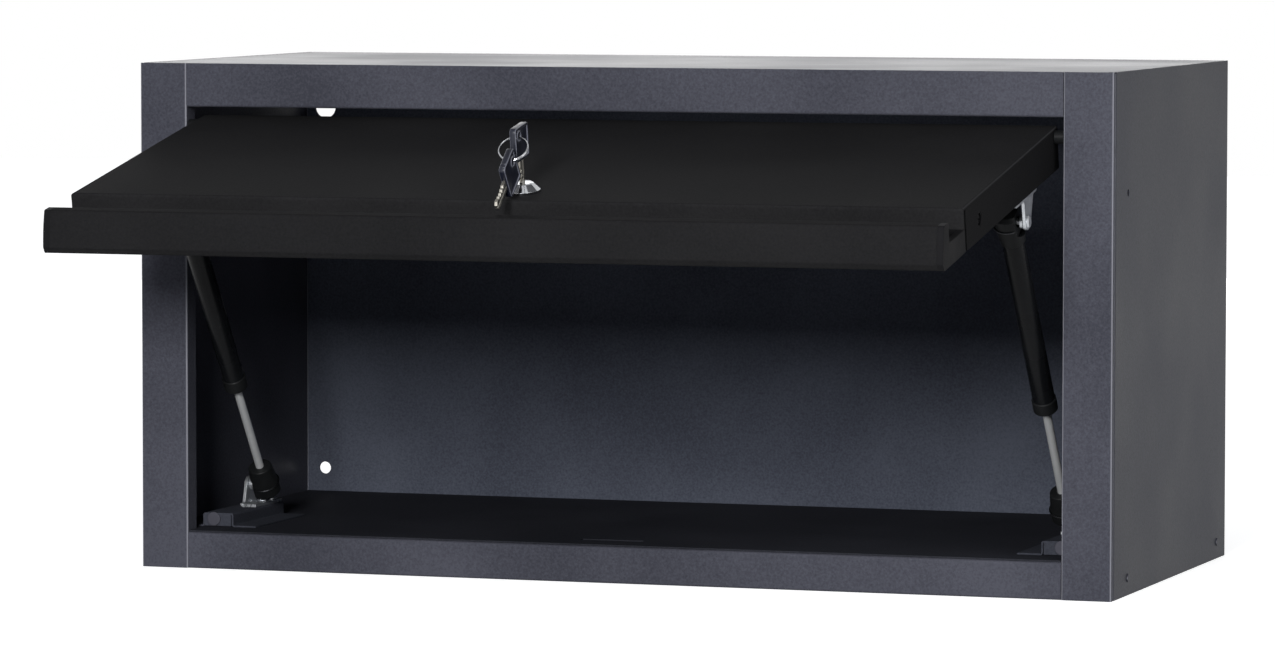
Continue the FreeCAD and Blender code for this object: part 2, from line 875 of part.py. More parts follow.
def ringWay():
    """The way from the key's hole across the ring, leaning off the mid-plane."""
    slope = math.radians(ringSlope)
    lean = math.radians(ringLean)
    down = vector(0, math.cos(slope), -math.sin(slope))
    return down * math.cos(lean) - vector(1, 0, 0) * math.sin(lean)


def makeRing():
    slope = math.radians(ringSlope)
    normal = vector(0, math.sin(slope), math.cos(slope))
    centre = keyHole() + ringWay() * (ringSeat + ringRadius)
    inner = ringRadius - ringWire
    outer = ringRadius + ringWire
    half = ringCoilShift + ringWire
    edge = ringWire * 0.6
    return turned([
        (inner, -half, edge), (outer, -half, edge), (outer, -edge), (ringRadius + edge / 2, 0),
        (outer, edge), (outer, half, edge), (inner, half, edge),
    ], centre, normal)


def spared(shape):
    """A piece of the key, moved to the spare that hangs on the ring's far side."""
    turnedDown = shape.rotated(keyHole(), vector(1, 0, 0), -spareTurn)
    return turnedDown.translated(ringWay() * 2 * (ringSeat + ringRadius))


# Write the nodes

savePair("side_panel", makeSidePanel())
savePair("stile", makeStile())
save("top_rail", makeTopRail())
save("bottom_rail", makeBottomRail())
save("top_panel", makeTopPanel())
save("back_panel", makeBackPanel())
save("floor_panel", makeFloorPanel())
savePair("strut_channel", makeChannel())
savePair("door_bumper", makeBumper())
savePair("lower_bracket", makeLowerBracket())
savePair("bracket_screws", *makeBracketScrews())
savePair("floor_screws", *[makeFloorScrew(y) for y in floorScrewPlaces()])
savePair("hinge_stud", makeHingeStud())
savePair("hinge_spacer", makeSpacer())
lowerSeat = bracketFace + bracketThick / 10 - bracketThick
savePair("lower_ball_stud", makeBallStud(lowerBall, lowerSeat, bracketThick, studHead * 0.75))

save("door_pan", opened(makeDoorPan()))
save("door_handle", opened(makeHandle()))
savePair("handle_cap", opened(makeHandleCap()))
savePair("screw_cup", opened(makeScrewCup()))
savePair("door_bracket", opened(makeDoorBracket()))
savePair("bracket_rivet", opened(makeBracketRivet()))
save("escutcheon", opened(makeEscutcheon()))
save("lock_barrel", opened(makeLockBarrel()))
save("lock_nut", opened(makeLockNut()))

save("lock_plug", opened(makeLockPlug()))
save("lock_cam", opened(makeCam()))
save("cam_screw", opened(makeCamScrew()))
save("key_blade", opened(makeKeyBlade()))
save("key_head", opened(makeKeyHead()))
save("split_ring", opened(makeRing()))
save("spare_blade", opened(spared(makeKeyBlade())))
save("spare_head", opened(spared(makeKeyHead())))

upperSeat = bracketFace - bracketThick - movingGap
savePair("strut_rod", makeStrutRod())
savePair("rod_fitting", makeEndFitting(lowerBall, strutAxis, rodRadius))
savePair("strut_tube", makeStrutTube())
savePair("gland_collar", makeGlandCollar())
savePair("tube_fitting", makeEndFitting(upperBall, strutAxis * -1, tubeRadius))
savePair("upper_ball_stud", makeBallStud(upperBall, upperSeat, 0, 0))

print("hinge", hinge - origin)
print("lower ball", lowerBall - origin, "upper ball", upperBall - origin)
print("strut length", strutLength, "closed", (upperBallClosed - lowerBall).Length)
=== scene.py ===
import json
import math
import bpy
import bmesh
from mathutils import Euler, Matrix, Vector


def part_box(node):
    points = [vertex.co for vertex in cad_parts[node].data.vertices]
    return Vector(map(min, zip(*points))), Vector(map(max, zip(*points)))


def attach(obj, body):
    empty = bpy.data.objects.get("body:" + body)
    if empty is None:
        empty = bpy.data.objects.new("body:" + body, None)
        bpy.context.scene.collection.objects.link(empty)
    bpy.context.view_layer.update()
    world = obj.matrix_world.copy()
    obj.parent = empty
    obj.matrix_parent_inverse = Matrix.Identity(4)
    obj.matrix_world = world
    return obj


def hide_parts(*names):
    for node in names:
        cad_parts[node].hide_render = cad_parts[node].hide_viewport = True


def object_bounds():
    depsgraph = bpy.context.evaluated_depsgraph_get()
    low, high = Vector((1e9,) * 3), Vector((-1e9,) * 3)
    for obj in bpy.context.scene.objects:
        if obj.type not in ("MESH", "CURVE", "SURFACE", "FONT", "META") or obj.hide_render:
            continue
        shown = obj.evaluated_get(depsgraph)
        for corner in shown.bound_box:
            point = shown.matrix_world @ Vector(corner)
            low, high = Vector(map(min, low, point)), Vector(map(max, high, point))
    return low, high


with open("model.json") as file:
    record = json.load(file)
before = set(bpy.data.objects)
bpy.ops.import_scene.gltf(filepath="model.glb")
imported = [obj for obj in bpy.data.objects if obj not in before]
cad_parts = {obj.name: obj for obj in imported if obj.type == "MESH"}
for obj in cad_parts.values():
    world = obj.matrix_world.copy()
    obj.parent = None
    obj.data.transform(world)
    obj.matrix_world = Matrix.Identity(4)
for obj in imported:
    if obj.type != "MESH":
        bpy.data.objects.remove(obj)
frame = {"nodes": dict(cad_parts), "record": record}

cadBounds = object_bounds()
mm = 0.001
doorOpen = 79  # degrees from shut to the rest pose
print("frame loaded:", len(frame["nodes"]), "nodes")


# Colours and nodes

def linear(hexColour):  # sRGB hex to the linear colour that a shader takes
    channels = [int(hexColour[i:i + 2], 16) / 255 for i in (1, 3, 5)]
    return [c / 12.92 if c <= 0.04045 else ((c + 0.055) / 1.055) ** 2.4 for c in channels] + [1.0]


def addNode(tree, kind, settings=None, links=None):
    made = tree.nodes.new("ShaderNode" + kind)
    for name, value in (settings or {}).items():
        if isinstance(name, int) or name in made.inputs:
            made.inputs[name].default_value = value
        else:
            setattr(made, name, value)
    for name, socket in (links or {}).items():
        tree.links.new(socket, made.inputs[name])
    return made


def startMaterial(name):
    material = bpy.data.materials.new(name)
    material.use_nodes = True
    tree = material.node_tree
    tree.nodes.clear()
    shader = addNode(tree, "BsdfPrincipled")
    addNode(tree, "OutputMaterial", links={"Surface": shader.outputs[0]})
    place = addNode(tree, "TexCoord").outputs["Object"]
    return material, tree, shader, place


def perMetre(sizeMm):
    return 1000 / sizeMm  # texture scale for a pattern of this size


# Powder coat: polyester powder sprayed dry and baked on sheet steel. It gives a dull satin skin with a
# fine orange peel. The upright folds are painted lighter, a painted highlight where the bends catch the
# lamps.

slateCoat = {"colour": "#393a42", "light": "#4d4e57", "highlight": "#a6a7b0", "roughness": (0.28, 0.38),
             "peelMm": 1.6, "cloudMm": 120, "depth": 0.14, "edgeMm": 1.0, "highlightShare": 0.6, "level": 0.02,
             "tilt": 0, "fold": (0.97, 0.78)}
# inside, nothing rubs the coat smooth; the back panel's copy is a little lighter, painted light, the strut
# channels' copy is darker, and the floor's copy darker still, painted shade
mattCoat = {**slateCoat, "colour": "#3b3e48", "light": "#50545f", "roughness": (0.6, 0.7), "level": 0.004}
channelCoat = {**mattCoat, "colour": "#303239", "light": "#40424a"}
floorCoat = {**mattCoat, "colour": "#25262b", "light": "#33343a", "highlightShare": 0.3}
blackCoat = {"colour": "#1d1d1e", "light": "#272728", "highlight": "#4a4a4c", "roughness": (0.52, 0.64),
             "peelMm": 1.6, "cloudMm": 120, "depth": 0.08, "edgeMm": 0.9, "highlightShare": 0.5, "level": 0.004,
             "tilt": doorOpen, "fold": (0.93, 0.78)}
handleCoat = {**blackCoat, "colour": "#19191a", "light": "#222223"}  # a little darker on the handle
# wet spray enamel lies thinner than powder on the drawn tubes, and shines more
tubePaint = {"colour": "#0c0d0f", "light": "#131416", "highlight": "#2b2b2d", "roughness": (0.24, 0.34),
             "peelMm": 2.2, "cloudMm": 40, "depth": 0.03, "edgeMm": 0.4, "highlightShare": 0.0, "level": 0.08,
             "tilt": 0, "fold": (0.9, 0.8)}
coatBlend = {"peelShare": 1.1, "tones": (0.75, 1.35), "upright": (0.4, 0.1), "bump": 0.6}
noiseSpan = (0.3, 0.7)  # nearly all of a noise's values lie between these


def finishSurface(tree, shader, recipe, colour, patches, relief, bump=0.5):
    low, high = recipe["roughness"]
    gloss = addNode(tree, "MapRange", {"From Min": noiseSpan[0], "From Max": noiseSpan[1],
                                       "To Min": low, "To Max": high}, {"Value": patches})
    soft = addNode(tree, "Bevel", {"samples": 4, "Radius": recipe["edgeMm"] * mm})
    raised = addNode(tree, "Bump", {"Strength": bump, "Distance": recipe["depth"] * mm},
                     {"Height": relief, "Normal": soft.outputs[0]})
    tree.links.new(colour, shader.inputs["Base Color"])
    tree.links.new(gloss.outputs[0], shader.inputs["Roughness"])
    tree.links.new(raised.outputs[0], shader.inputs["Normal"])


def makeCoat(name, coat):
    material, tree, shader, place = startMaterial(name)
    # real peel is finer than 1 mm, so it is drawn coarse enough to show
    peel = addNode(tree, "TexNoise", {"Scale": perMetre(coat["peelMm"]), "Detail": 3, "Roughness": 0.6},
                   {"Vector": place})
    cloud = addNode(tree, "TexNoise", {"Scale": perMetre(coat["cloudMm"]), "Detail": 2}, {"Vector": place})
    blend = addNode(tree, "Math", {"operation": "MULTIPLY_ADD", 1: coatBlend["peelShare"]},
                    {0: peel.outputs["Fac"], 2: cloud.outputs["Fac"]})
    tone = addNode(tree, "MapRange", {"From Min": coatBlend["tones"][0], "From Max": coatBlend["tones"][1]},
                   {"Value": blend.outputs[0]})
    body = addNode(tree, "Mix", {"data_type": "RGBA", 6: linear(coat["colour"]), 7: linear(coat["light"])},
                   {0: tone.outputs[0]})
    # a fold is where the surface faces none of the sheet's own three ways
    sheetTurn = (math.radians(coat["tilt"]), 0, 0)
    facing = addNode(tree, "Mapping", {"vector_type": "VECTOR", "Rotation": sheetTurn},
                     {"Vector": place.node.outputs["Normal"]})
    sizes = addNode(tree, "VectorMath", {"operation": "ABSOLUTE"}, {0: facing.outputs[0]})
    ways = addNode(tree, "SeparateXYZ", links={0: sizes.outputs[0]})
    most = addNode(tree, "Math", {"operation": "MAXIMUM"}, {0: ways.outputs[0], 1: ways.outputs[1]})
    most = addNode(tree, "Math", {"operation": "MAXIMUM"}, {0: most.outputs[0], 1: ways.outputs[2]})
    fold = addNode(tree, "MapRange", {"From Min": coat["fold"][0], "From Max": coat["fold"][1],
                                      "To Max": coat["highlightShare"]},
                   {"Value": most.outputs[0]})
    # only the upright folds, at the sides of the opening, are painted lighter: a painted highlight on the
    # bends
    level, upright = coatBlend["upright"]
    uprightFolds = addNode(tree, "MapRange", {"From Min": level, "From Max": upright}, {"Value": ways.outputs[2]})
    fold = addNode(tree, "Math", {"operation": "MULTIPLY"}, {0: fold.outputs[0], 1: uprightFolds.outputs[0]})
    # painted highlight: the upright folds are mixed toward the pale highlight colour
    colour = addNode(tree, "Mix", {"data_type": "RGBA", 7: linear(coat["highlight"])},
                     {0: fold.outputs[0], 6: body.outputs[2]})
    finishSurface(tree, shader, coat, colour.outputs[2], cloud.outputs["Fac"], peel.outputs["Fac"],
                  coatBlend["bump"])
    shader.inputs["Specular IOR Level"].default_value = coat["level"]
    return material


# Metals: zinc plate on pressed steel is bright and slightly cloudy, chrome plate is a clear mirror, a ground
# rod has fine rings round it, and a nickel plated key has mill marks along it. Die-cast zinc is greyer and
# a little rough, and phosphated spring steel is dark.

# a fifth of the zinc plate is diffuse: partly the cloudy plate, partly a painted sheen that lightens faces
# whose reflections are dark
zincPlate = {"colour": "#c3c6ca", "dull": "#9da0a4", "roughness": (0.24, 0.42), "cloudMm": 6,
             "lineMm": (1.2, 8, 8), "depth": 0.02, "edgeMm": 0.4, "metallic": 0.8}
chromePlate = {"colour": "#c9cbce", "dull": "#9fa1a6", "roughness": (0.06, 0.14), "cloudMm": 5,
               "lineMm": (6, 6, 6), "depth": 0.004, "edgeMm": 0.3, "metallic": 1.0}
# the rod's near-white colour, with part of it diffuse, is a painted sheen that lightens the rod all round in
# place of reflections
groundSteel = {"colour": "#f0f1f2", "dull": "#d8dadc", "roughness": (0.14, 0.26), "cloudMm": 8,
               "lineMm": (20, 20, 0.8), "depth": 0.004, "edgeMm": 0.3, "metallic": 0.6}
nickelKey = {"colour": "#b4b1a9", "dull": "#8b8880", "roughness": (0.26, 0.4), "cloudMm": 3,
             "lineMm": (0.6, 6, 6), "depth": 0.01, "edgeMm": 0.3, "metallic": 0.95}
dieCast = {"colour": "#9b9da1", "dull": "#84868a", "roughness": (0.34, 0.5), "cloudMm": 3,
           "lineMm": (2, 2, 2), "depth": 0.03, "edgeMm": 0.4, "metallic": 1.0}
springSteel = {"colour": "#3d3e41", "dull": "#2a2b2d", "roughness": (0.3, 0.42), "cloudMm": 3,
               "lineMm": (2, 2, 2), "depth": 0.01, "edgeMm": 0.2, "metallic": 0.95}


def makeMetal(name, metal):
    material, tree, shader, place = startMaterial(name)
    cloud = addNode(tree, "TexNoise", {"Scale": perMetre(metal["cloudMm"]), "Detail": 3}, {"Vector": place})
    stretch = addNode(tree, "Mapping", {"Scale": [perMetre(size) for size in metal["lineMm"]]},
                      {"Vector": place})
    line = addNode(tree, "TexNoise", {"Scale": 1.0, "Detail": 2}, {"Vector": stretch.outputs[0]})
    colour = addNode(tree, "Mix", {"data_type": "RGBA", 6: linear(metal["dull"]), 7: linear(metal["colour"])},
                     {0: cloud.outputs["Fac"]})
    finishSurface(tree, shader, metal, colour.outputs[2], line.outputs["Fac"], line.outputs["Fac"])
    shader.inputs["Metallic"].default_value = metal["metallic"]
    return material


# Moulded plastics and rubber: a spark-eroded mould leaves a fine dull grain on nylon and ABS, and rubber
# comes out flatter still.

blackNylon = {"colour": "#101112", "light": "#191a1b", "roughness": (0.38, 0.5), "grainMm": 0.9,
              "depth": 0.05, "edgeMm": 0.5, "level": 0.08}
navyAbs = {"colour": "#11131c", "light": "#1b1e2b", "roughness": (0.3, 0.42), "grainMm": 0.9,
           "depth": 0.03, "edgeMm": 0.7, "level": 0.28, "highlight": "#8a8c98", "highlightShare": 0.5}
capAbs = {"colour": "#151516", "light": "#1b1b1d", "roughness": (0.5, 0.6), "grainMm": 1.2,
          "depth": 0.06, "edgeMm": 0.6, "level": 0.02}
bufferRubber = {"colour": "#3a3a42", "light": "#4b4b54", "roughness": (0.62, 0.75), "grainMm": 1.0,
                "depth": 0.06, "edgeMm": 0.5, "level": 0.2}
flowGrains = 12  # the colour drifts over this many grains, as the melt flowed
headHighlight = {"start": (0.25, 0.5), "end": (0.99, 0.94)}  # how squarely an edge with the painted highlight faces sideways


def makePlastic(name, plastic):
    material, tree, shader, place = startMaterial(name)
    grain = addNode(tree, "TexNoise", {"Scale": perMetre(plastic["grainMm"]), "Detail": 3}, {"Vector": place})
    flow = addNode(tree, "TexNoise", {"Scale": perMetre(plastic["grainMm"] * flowGrains), "Detail": 2},
                   {"Vector": place})
    colour = addNode(tree, "Mix", {"data_type": "RGBA", 6: linear(plastic["colour"]),
                                   7: linear(plastic["light"])}, {0: flow.outputs["Fac"]})
    if "highlight" in plastic:  # painted highlight: a key head's edges are painted lighter where they turn from its flat face
        ways = addNode(tree, "SeparateXYZ", links={0: place.node.outputs["Normal"]})
        flat = addNode(tree, "Math", {"operation": "ABSOLUTE"}, {0: ways.outputs[0]})
        start = addNode(tree, "MapRange", {"From Min": headHighlight["start"][0], "From Max": headHighlight["start"][1],
                                           "To Max": plastic["highlightShare"]}, {"Value": flat.outputs[0]})
        end = addNode(tree, "MapRange", {"From Min": headHighlight["end"][0], "From Max": headHighlight["end"][1]},
                      {"Value": flat.outputs[0]})
        edge = addNode(tree, "Math", {"operation": "MULTIPLY"}, {0: start.outputs[0], 1: end.outputs[0]})
        colour = addNode(tree, "Mix", {"data_type": "RGBA", 7: linear(plastic["highlight"])},
                         {0: edge.outputs[0], 6: colour.outputs[2]})
    finishSurface(tree, shader, plastic, colour.outputs[2], flow.outputs["Fac"], grain.outputs["Fac"])
    shader.inputs["Specular IOR Level"].default_value = plastic["level"]
    return material


finishes = {
    "carcass_paint": makeCoat("polyester powder coat slate", slateCoat),
    "door_paint": makeCoat("polyester powder coat black", blackCoat),
    "strut_paint": makeCoat("wet spray enamel black", tubePaint),
    "zinc": makeMetal("zinc plate on pressed steel", zincPlate),
    "chrome": makeMetal("chrome plate", chromePlate),
    "rod_steel": makeMetal("ground steel", groundSteel),
    "key_steel": makeMetal("nickel plate milled", nickelKey),
    "die_cast": makeMetal("zinc die casting", dieCast),
    "fitting_plastic": makePlastic("nylon moulded black", blackNylon),
    "cap_plastic": makePlastic("ABS moulded black", capAbs),
    "key_plastic": makePlastic("ABS moulded navy", navyAbs),
    "bumper_rubber": makePlastic("rubber moulded", bufferRubber),
}
mattInside = makeCoat("polyester powder coat slate matt", mattCoat)
floorInside = makeCoat("polyester powder coat slate with painted shade", floorCoat)
channelInside = makeCoat("polyester powder coat slate darker", channelCoat)
handleBlack = makeCoat("polyester powder coat black darker", handleCoat)
nodePaint = {"back_panel": mattInside, "floor_panel": floorInside, "left_strut_channel": channelInside,
             "right_strut_channel": channelInside, "door_handle": handleBlack}
springWire = makeMetal("spring steel phosphated", springSteel)


# Making meshes: points are in millimetres, and crease is the angle from which an edge stays sharp

def addFaces(shape, points, faces, place):
    corners = [shape.verts.new(place @ (Vector(point) * mm)) for point in points]
    for face in faces:
        shape.faces.new([corners[spot] for spot in face])


def pieceOf(shape, name, body, slot, crease):
    bmesh.ops.recalc_face_normals(shape, faces=shape.faces)
    for face in shape.faces:
        face.smooth = True
    for edge in shape.edges:
        edge.smooth = len(edge.link_faces) == 2 and edge.calc_face_angle(0) < math.radians(crease)
    mesh = bpy.data.meshes.new(name)
    shape.to_mesh(mesh)
    shape.free()
    mesh.materials.append(finishes[slot])
    piece = bpy.data.objects.new(name, mesh)
    bpy.context.scene.collection.objects.link(piece)
    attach(piece, body)
    return piece


def meshPiece(name, points, faces, place, body, slot, crease):
    shape = bmesh.new()
    addFaces(shape, points, faces, place)
    return pieceOf(shape, name, body, slot, crease)


def roundTurns(count):  # angles evenly round a circle
    return [2 * math.pi * step / count for step in range(count)]


def clamp(value):  # kept from 0 to 1
    return min(max(value, 0), 1)


def skinRings(rings):  # four-sided faces between rings of equal length, and a cap at each end
    count = len(rings[0])
    points = [point for ring in rings for point in ring]
    faces = []
    for ring in range(len(rings) - 1):
        after = ring + 1
        for spot in range(count):
            side = (spot + 1) % count
            faces.append((ring * count + spot, ring * count + side, after * count + side,
                          after * count + spot))
    faces.append(tuple(range(count))[::-1])
    faces.append(tuple(range((len(rings) - 1) * count, len(rings) * count)))
    return points, faces


def sweepWire(path, radius, sides):  # a round wire along points, with ends cut square
    rings = []
    up = None
    for index, here in enumerate(path):
        before = path[max(index - 1, 0)]
        after = path[min(index + 1, len(path) - 1)]
        way = (after - before).normalized()
        if up is None:
            up = way.orthogonal().normalized()
        up = (up - way * up.dot(way)).normalized()
        across = way.cross(up)
        rings.append([here + (up * math.cos(turn) + across * math.sin(turn)) * radius
                      for turn in roundTurns(sides)])
    return skinRings(rings)


slotOf = {part["node"]: part["material_slot"] for part in frame["record"]["subparts"]}
for nodeName, node in frame["nodes"].items():
    node.data.materials.clear()
    node.data.materials.append(nodePaint.get(nodeName, finishes[slotOf[nodeName]]))
print("finishes on", len(slotOf), "nodes")


# Places on the door, in millimetres from the lock's middle on the closed door's face

joints = {joint["name"]: joint for joint in frame["record"]["behaviour"]["joints"]}
doorTurn = Matrix.Rotation(math.radians(-doorOpen), 4, "X")


def spotOf(jointName):
    return Vector(joints[jointName]["pos_m"])


lockPlace = Matrix.Translation(spotOf("key_slide")) @ doorTurn


# Key heads: ABS moulded over the blade, with a rim, an eyelet and two ribs at each side. Each key is drawn
# as it stands in the lock, with its head "out" from the door's face.

keyHead = {"out": 22.0, "length": 23.0, "width": 25.0, "thick": 4.4, "corner": 3.0, "leastCorner": 0.2,
           "round": 0.55, "rim": 2.0, "sink": 0.6, "hole": (16.74, -5.04), "bore": 2.7, "eyelet": 3.7,
           "ribs": (2.4, 5.6), "ribWide": 1.5, "ribHigh": 0.5, "ribRoot": 0.2, "ribEnds": (0.5, 0.8)}


def headRing(inset, x):
    halfLong, halfWide = keyHead["length"] / 2, keyHead["width"] / 2
    corner = max(keyHead["corner"] - inset, keyHead["leastCorner"])
    ring = []
    for side, (signY, signZ) in enumerate(((1, 1), (-1, 1), (-1, -1), (1, -1))):
        middleY = -keyHead["out"] - halfLong + signY * (halfLong - inset - corner)
        middleZ = signZ * (halfWide - inset - corner)
        for step in range(7):
            turn = math.radians(90 * side + 15 * step)
            ring.append((x, middleY + corner * math.cos(turn), middleZ + corner * math.sin(turn)))
    return ring


def holeRing(radius, x):
    back, up = keyHead["hole"]
    return [(x, -keyHead["out"] - back + radius * math.cos(turn), up + radius * math.sin(turn))
            for turn in roundTurns(28)]


def ribRing(along, side, high, x):
    wide, root = keyHead["ribWide"] / 2, keyHead["ribRoot"]
    return [(x, -keyHead["out"] - along + wide * math.cos(turn),
             side * (keyHead["width"] / 2 - root + (high + root) * math.sin(turn)))
            for turn in (math.pi * step / 6 for step in range(7))]


def makeKeyHead(name, place, body, node):
    half = keyHead["thick"] / 2
    rim, sink, soft = keyHead["rim"], keyHead["sink"], keyHead["round"]
    bore, eyelet = keyHead["bore"], keyHead["eyelet"]
    shape = bmesh.new()

    def loop(ring):
        return [shape.verts.new(place @ (Vector(point) * mm)) for point in ring]

    def band(first, second):
        for spot in range(len(first)):
            side = (spot + 1) % len(first)
            shape.faces.new((first[spot], first[side], second[side], second[spot]))

    def closeUp(loops):
        edges = []
        for ring in loops:
            for spot in range(len(ring)):
                edges.append(shape.edges.get((ring[spot], ring[(spot + 1) % len(ring)])))
        bmesh.ops.triangle_fill(shape, use_beauty=True, edges=edges)

    walls, bores = [], []
    for face in (-1, 1):
        # from the rounded side over the rim to the sunk panel: inset from the side, and height
        steps = [(0, half - soft), (soft * 0.3, half - soft * 0.3), (soft, half), (rim - 0.4, half),
                 (rim - 0.1, half - 0.15), (rim + 0.1, half - sink + 0.1), (rim + 0.4, half - sink)]
        loops = [loop(headRing(inset, face * x)) for inset, x in steps]
        # from the sunk panel over the eyelet into the bore: radius, and height
        rings = [(eyelet + 0.3, half - sink), (eyelet, half - sink + 0.15), (eyelet - 0.2, half - 0.1),
                 (bore + 0.35, half), (bore, half - 0.3)]
        inner = [loop(holeRing(radius, face * x)) for radius, x in rings]
        for group in (loops, inner):
            for first, second in zip(group, group[1:]):
                band(first, second)
        closeUp([loops[-1], inner[0]])
        walls.append(loops[0])
        bores.append(inner[-1])
    band(*walls)
    band(*bores)
    foot, top = (half - end for end in keyHead["ribEnds"])
    high = keyHead["ribHigh"]
    for along in keyHead["ribs"]:
        for side in (-1, 1):
            rings = [ribRing(along, side, rise, x)
                     for rise, x in ((0, -foot), (high, -top), (high, top), (0, foot))]
            addFaces(shape, *skinRings(rings), place)
    head = pieceOf(shape, name, body, "key_plastic", 50)
    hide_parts(node)


# Key blades: nickel plated brass, milled with a groove down each side and cuts along one edge

keyBlade = {"length": 22.5, "width": 7.0, "thick": 2.0, "edge": 0.25, "groove": (0.3, 1.5), "deep": 0.45,
            "wall": 0.3, "stagger": 0.1, "rail": 0.5, "plain": 2.5, "firstCut": 3.0, "uncut": 4.0,
            "cuts": (0.0, 0.0, 1.2, 0.5, 1.9, 0.9, 2.3, 0.7, 1.5, 0.4), "cutFlat": 0.35,
            "point": 3.5, "shoulder": (0.6, 0.6), "tip": 2.4}


def makeKeyBlade(name, place, body, node):
    length, halfWide, cuts = keyBlade["length"], keyBlade["width"] / 2, keyBlade["cuts"]
    half, edge, halfTip = keyBlade["thick"] / 2, keyBlade["edge"], keyBlade["tip"] / 2
    (low, high), deep = keyBlade["groove"], keyBlade["deep"]
    wall, stagger = keyBlade["wall"], keyBlade["stagger"]
    stations = [(0.0, 0.0), (keyBlade["plain"], 0.0)]
    pitch = (length - keyBlade["point"] - keyBlade["uncut"]) / (len(cuts) - 1)
    for index, cut in enumerate(cuts):
        stations += [(keyBlade["firstCut"] + pitch * (index + share), cut)
                     for share in (0, keyBlade["cutFlat"])]
    share, cut = keyBlade["shoulder"]
    stations += [(length - keyBlade["point"] * share, cut), (length, halfWide - halfTip)]
    rings = []
    for index, (along, cut) in enumerate(stations):
        top = halfWide if index < len(stations) - 1 else halfTip
        foot = -halfWide + cut
        lip = min(high, top - keyBlade["rail"])
        section = [(-half + edge, foot), (half - edge, foot), (half, foot + edge),
                   (half, low - wall), (half - deep, low), (half - deep, lip - wall), (half, lip),
                   (half, top - edge), (half - edge, top), (-half + edge, top), (-half, top - edge),
                   (-half, lip - stagger + wall), (-half + deep, lip - stagger),
                   (-half + deep, low - stagger), (-half, low - stagger - wall), (-half, foot + edge)]
        rings.append([(x, -keyHead["out"] + along, z) for x, z in section])
    blade = meshPiece(name, *skinRings(rings), place, body, "key_steel", 30)
    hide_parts(node)


# Hang of the keys: the ring leans out of the first key's hole, and the spare key hangs from it

hang = {"lean": -3.0, "slope": 54.4, "reach": 22.2, "spareTurn": -62.0}

slope, lean = math.radians(hang["slope"]), math.radians(hang["lean"])
ringWay = Vector((-math.sin(lean), math.cos(slope) * math.cos(lean), -math.sin(slope) * math.cos(lean)))
holeSpot = Vector((0, -keyHead["out"] - keyHead["hole"][0], keyHead["hole"][1])) * mm
sparePlace = (lockPlace @ Matrix.Translation(holeSpot + ringWay * hang["reach"] * mm)
              @ Matrix.Rotation(math.radians(hang["spareTurn"]), 4, "X") @ Matrix.Translation(-holeSpot))
makeKeyHead("key_head_moulded", lockPlace, "key", "key_head")
makeKeyHead("spare_head_moulded", sparePlace, "spare_key", "spare_head")
makeKeyBlade("key_blade_milled", lockPlace, "key", "key_blade")
makeKeyBlade("spare_blade_milled", sparePlace, "spare_key", "spare_blade")
print("keys")


# Split ring: spring wire wound twice round, its ends lying against the other turn

splitRing = {"radius": 9.8, "wire": 0.5, "shift": 0.47, "turns": 2.0, "cross": 0.12, "start": 200,
             "steps": 144, "sides": 12}


def makeSplitRing():
    middle = holeSpot / mm + ringWay * (hang["reach"] / 2)
    normal = Vector((0, math.sin(slope), math.cos(slope)))
    across = Vector((1, 0, 0))
    along = normal.cross(across)
    path = []
    for step in range(splitRing["steps"] + 1):
        part = step / splitRing["steps"]
        turn = math.radians(splitRing["start"] + 360 * splitRing["turns"] * part)
        cross = clamp((part - 0.5) / splitRing["cross"] + 0.5)  # half way round, it steps to the other turn
        lift = splitRing["shift"] * (2 * cross * cross * (3 - 2 * cross) - 1)
        path.append(middle + (across * math.cos(turn) + along * math.sin(turn)) * splitRing["radius"]
                    + normal * lift)
    wire = sweepWire(path, splitRing["wire"], splitRing["sides"])
    ring = meshPiece("split_ring_wound", *wire, lockPlace, "ring", "chrome", 40)
    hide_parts("split_ring")


makeSplitRing()
print("split ring")


# Spring clips: a wire bent round each boot, which keeps the ball in its socket

springClip = {"wire": 0.5, "boot": 10.4, "bite": 0.4, "off": 2.0, "gap": 62, "tail": 3.2,
              "steps": 32, "sides": 10}


def makeSpringClip(name, spot, way, body, side):
    radius = springClip["boot"] + springClip["wire"] * (1 - springClip["bite"])
    outward = Vector((side, 0, 0))
    across = way.cross(outward).normalized()
    path = []
    for step in range(springClip["steps"] + 1):
        turn = math.radians(springClip["gap"] + (360 - 2 * springClip["gap"]) * step / springClip["steps"])
        path.append(spot / mm + way * springClip["off"]
                    + (outward * math.cos(turn) + across * math.sin(turn)) * radius)
    tail = (path[-1] - path[0]).normalized() * springClip["tail"]
    path = [path[0] + tail, *path, path[-1] - tail]
    wire = sweepWire(path, springClip["wire"], springClip["sides"])
    clip = meshPiece(name, *wire, Matrix.Identity(4), body, "zinc", 40)
    clip.data.materials[0] = springWire


for side, hand in ((1, "right"), (-1, "left")):
    lower = spotOf(hand + "_strut_pivot")
    strutWay = Vector(joints[hand + "_strut_slide"]["axis"])
    low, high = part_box(hand + "_upper_ball_stud")
    upper = Vector((lower.x, (low[1] + high[1]) / 2, (low[2] + high[2]) / 2))
    makeSpringClip(hand + "_rod_clip", lower, strutWay, hand + "_strut_rod", side)
    makeSpringClip(hand + "_tube_clip", upper, -strutWay, hand + "_strut_tube", side)
print("spring clips")


# Screws: the door's cup screws have pan heads with a cross recess

screwHead = {"radius": 3.2, "dome": 1.2, "sunk": 1.6, "skirt": 0.05, "rim": 0.35, "around": 64,
             "rings": (1.0, 0.97, 0.9, 0.8, 0.7, 0.64, 0.6, 0.5, 0.4, 0.32, 0.26, 0.2, 0.15, 0.1, 0.04),
             "arm": 0.62, "wide": 0.16, "deep": 0.42, "armFade": 0.25, "wideFade": 0.4}


